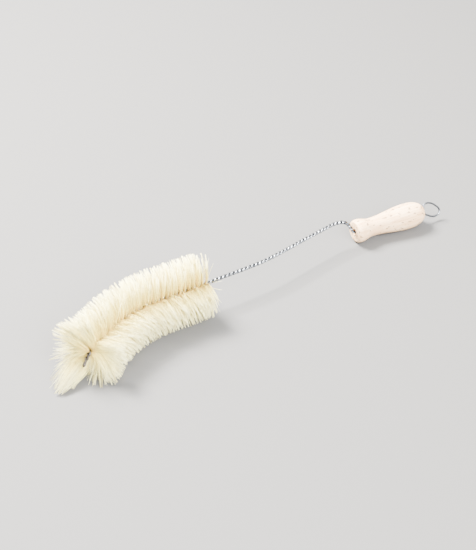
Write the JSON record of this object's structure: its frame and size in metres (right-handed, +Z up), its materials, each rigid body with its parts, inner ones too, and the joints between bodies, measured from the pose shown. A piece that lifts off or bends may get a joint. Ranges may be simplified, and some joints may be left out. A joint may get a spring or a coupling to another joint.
{
  "type": "bottle brush",
  "caption": "Bottle brush with a turned wooden handle, a twisted steel wire stem, a long head of pale bristles bent at its tip, and a wire hanging ring.",
  "frame": {"origin": "middle of the part's box, on the surface it lies on", "axes": "+Z up from that surface, +X along the handle towards the hanging ring, head towards -X"},
  "size_m": [0.449, 0.1122, 0.0586],
  "materials": {
    "handle_wood": "pale turned hardwood, sanded, no varnish, matt with fine pores",
    "wire_steel": "galvanised steel wire, bluish grey with bright highlights",
    "bristle_fibre": "stiff natural fibre bristles, near-white tips and yellower roots"
  },
  "bodies": {
    "root": {"handle": "handle_wood", "twisted_wire": "wire_steel", "bristles": "bristle_fibre", "hanging_ring": "wire_steel"}
  },
  "joints": []
}
